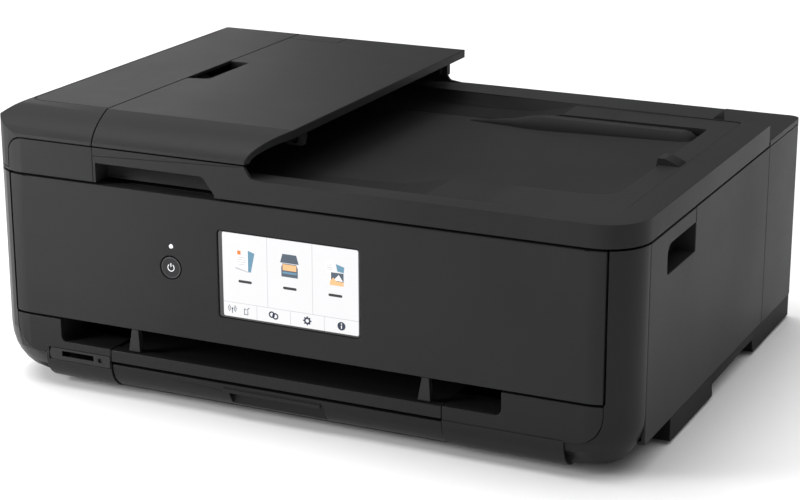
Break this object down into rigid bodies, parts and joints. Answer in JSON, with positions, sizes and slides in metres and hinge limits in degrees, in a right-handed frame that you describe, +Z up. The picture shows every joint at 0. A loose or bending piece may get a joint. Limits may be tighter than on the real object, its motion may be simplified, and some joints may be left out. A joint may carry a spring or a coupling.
{
  "type": "inkjet printer",
  "caption": "Multifunction inkjet printer with flatbed scanner, document feeder on the lid, tilting touch panel, front cassette and rear paper slot.",
  "frame": {"origin": "bottom centre of the overall box, on the surface that the rubber feet stand on", "axes": "+X to the right when facing the control panel, +Y towards the back, +Z up"},
  "size_m": [0.468, 0.366, 0.193],
  "materials": {
    "satin_black": "satin",
    "grained_black": "fine grain",
    "inner_black": "matt",
    "belt_rubber": "matt",
    "foot_rubber": "matt",
    "roller_rubber": "matt",
    "grey_trim": "satin",
    "steel": "brushed",
    "button_black": "satin",
    "lamp_white": "frosted",
    "screen": "gloss",
    "scan_glass": "clear",
    "pad_white": "matt foam sheet",
    "circuit_green": "satin",
    "tank_pigment_black": "gloss",
    "tank_yellow": "gloss",
    "tank_cyan": "gloss",
    "tank_magenta": "gloss",
    "tank_photo_black": "gloss"
  },
  "bodies": {
    "base": {"bottom_pan": "inner_black", "front_column_left": "satin_black", "front_column_right": "satin_black", "side_cover_left": "grained_black", "side_cover_right": "grained_black", "rear_cover": "grained_black", "front_frame_left": "satin_black", "front_frame_right": "satin_black", "card_slot_plate": "grey_trim", "slot_support_left": "grey_trim", "slot_support_right": "grey_trim", "mid_frame": "inner_black", "carriage_rail": "steel", "carriage_shaft": "steel", "drive_belt": "belt_rubber", "carriage_motor": "steel", "maintenance_station": "grey_trim", "platen": "inner_black", "power_supply": "grey_trim", "main_board": "circuit_green", "power_inlet": "inner_black", "usb_port": "steel", "foot_front_left": "foot_rubber", "foot_front_right": "foot_rubber", "foot_rear_left": "foot_rubber", "foot_rear_right": "foot_rubber", "hinge_pin_left": "steel", "hinge_pin_right": "steel"},
    "carriage": {"carriage": "inner_black", "ink_tank_pigment_black": "tank_pigment_black", "ink_tank_yellow": "tank_yellow", "ink_tank_cyan": "tank_cyan", "ink_tank_magenta": "tank_magenta", "ink_tank_photo_black": "tank_photo_black"},
    "paper_feed_roller": {"paper_feed_roller": "steel"},
    "eject_roller": {"eject_roller": "roller_rubber"},
    "operation_panel": {"operation_panel": "grained_black", "panel_back": "inner_black", "touch_screen": "screen", "status_lamp": "lamp_white"},
    "power_button": {"power_button": "button_black"},
    "output_tray": {"output_tray": "satin_black"},
    "cassette": {"cassette": "satin_black"},
    "cassette_guide_left": {"cassette_guide_left": "grey_trim"},
    "cassette_guide_right": {"cassette_guide_right": "grey_trim"},
    "cassette_end_guide": {"cassette_end_guide": "grey_trim"},
    "rear_tray_cover": {"rear_tray_cover": "grained_black"},
    "scanner_unit": {"scanner_frame": "inner_black", "platen_glass": "scan_glass", "feeder_glass": "scan_glass"},
    "scan_bar": {"scan_bar": "inner_black"},
    "lid": {"lid_frame": "grained_black", "pressure_pad": "pad_white", "feeder_chassis": "inner_black"},
    "feeder_cover": {"feeder_cover": "grained_black"},
    "document_tray": {"document_tray": "grained_black"},
    "pickup_roller": {"pickup_roller": "roller_rubber"},
    "separation_roller": {"separation_roller": "roller_rubber"},
    "document_guide_front": {"document_guide_front": "grey_trim"},
    "document_guide_rear": {"document_guide_rear": "grey_trim"}
  },
  "joints": [
    {"name": "scanner_lift", "type": "hinge", "parent": "base", "child": "scanner_unit", "pos_m": [0, 0.139, 0.143], "axis": [-1, 0, 0], "range_deg": [0, 22]},
    {"name": "lid_hinge", "type": "hinge", "parent": "scanner_unit", "child": "lid", "pos_m": [0, 0.13, 0.157], "axis": [-1, 0, 0], "range_deg": [0, 52]},
    {"name": "feeder_cover_hinge", "type": "hinge", "parent": "lid", "child": "feeder_cover", "pos_m": [-0.2335, 0, 0.158], "axis": [0, -1, 0], "range_deg": [0, 85]},
    {"name": "document_tray_hinge", "type": "hinge", "parent": "lid", "child": "document_tray", "pos_m": [-0.022, 0, 0.183], "axis": [0, 1, 0], "range_deg": [0, 150]},
    {"name": "document_guide_front_slide", "type": "slide", "parent": "lid", "child": "document_guide_front", "axis": [0, 1, 0], "range_m": [0, 0.055]},
    {"name": "document_guide_rear_slide", "type": "slide", "parent": "lid", "child": "document_guide_rear", "axis": [0, 1, 0], "range_m": [-0.055, 0]},
    {"name": "separation_roller_spin", "type": "hinge", "parent": "lid", "child": "separation_roller", "pos_m": [-0.195, 0, 0.176], "axis": [0, 1, 0], "continuous": true},
    {"name": "pickup_roller_spin", "type": "hinge", "parent": "lid", "child": "pickup_roller", "pos_m": [-0.172, 0, 0.177], "axis": [0, 1, 0], "continuous": true},
    {"name": "scan_bar_slide", "type": "slide", "parent": "scanner_unit", "child": "scan_bar", "axis": [1, 0, 0], "range_m": [0, 0.33]},
    {"name": "panel_tilt", "type": "hinge", "parent": "base", "child": "operation_panel", "pos_m": [0, -0.1805, 0.148], "axis": [-1, 0, 0], "range_deg": [0, 40]},
    {"name": "power_button_press", "type": "slide", "parent": "operation_panel", "child": "power_button", "axis": [0, 1, 0], "range_m": [0, 0.001], "stiffness_N_per_m": 300},
    {"name": "output_tray_slide", "type": "slide", "parent": "base", "child": "output_tray", "axis": [0, -1, 0], "range_m": [0, 0.09]},
    {"name": "cassette_slide", "type": "slide", "parent": "base", "child": "cassette", "axis": [0, -1, 0], "range_m": [0, 0.22]},
    {"name": "cassette_guide_left_slide", "type": "slide", "parent": "cassette", "child": "cassette_guide_left", "axis": [1, 0, 0], "range_m": [0, 0.05]},
    {"name": "cassette_guide_right_slide", "type": "slide", "parent": "cassette", "child": "cassette_guide_right", "axis": [1, 0, 0], "range_m": [-0.05, 0]},
    {"name": "cassette_end_guide_slide", "type": "slide", "parent": "cassette", "child": "cassette_end_guide", "axis": [0, -1, 0], "range_m": [0, 0.1]},
    {"name": "carriage_slide", "type": "slide", "parent": "base", "child": "carriage", "axis": [-1, 0, 0], "range_m": [0, 0.3]},
    {"name": "paper_feed_roller_spin", "type": "hinge", "parent": "base", "child": "paper_feed_roller", "pos_m": [0, 0.031, 0.043], "axis": [1, 0, 0], "continuous": true},
    {"name": "eject_roller_spin", "type": "hinge", "parent": "base", "child": "eject_roller", "pos_m": [0, -0.062, 0.043], "axis": [1, 0, 0], "continuous": true},
    {"name": "rear_tray_cover_hinge", "type": "hinge", "parent": "base", "child": "rear_tray_cover", "pos_m": [0, 0.1816, 0.1536], "axis": [-1, 0, 0], "range_deg": [0, 150]}
  ],
  "couplings": [
    {"joint": "document_guide_rear_slide", "follows": "document_guide_front_slide", "ratio": -1},
    {"joint": "pickup_roller_spin", "follows": "separation_roller_spin", "ratio": 1.125},
    {"joint": "cassette_guide_right_slide", "follows": "cassette_guide_left_slide", "ratio": -1},
    {"joint": "eject_roller_spin", "follows": "paper_feed_roller_spin", "ratio": 1.1667}
  ]
}
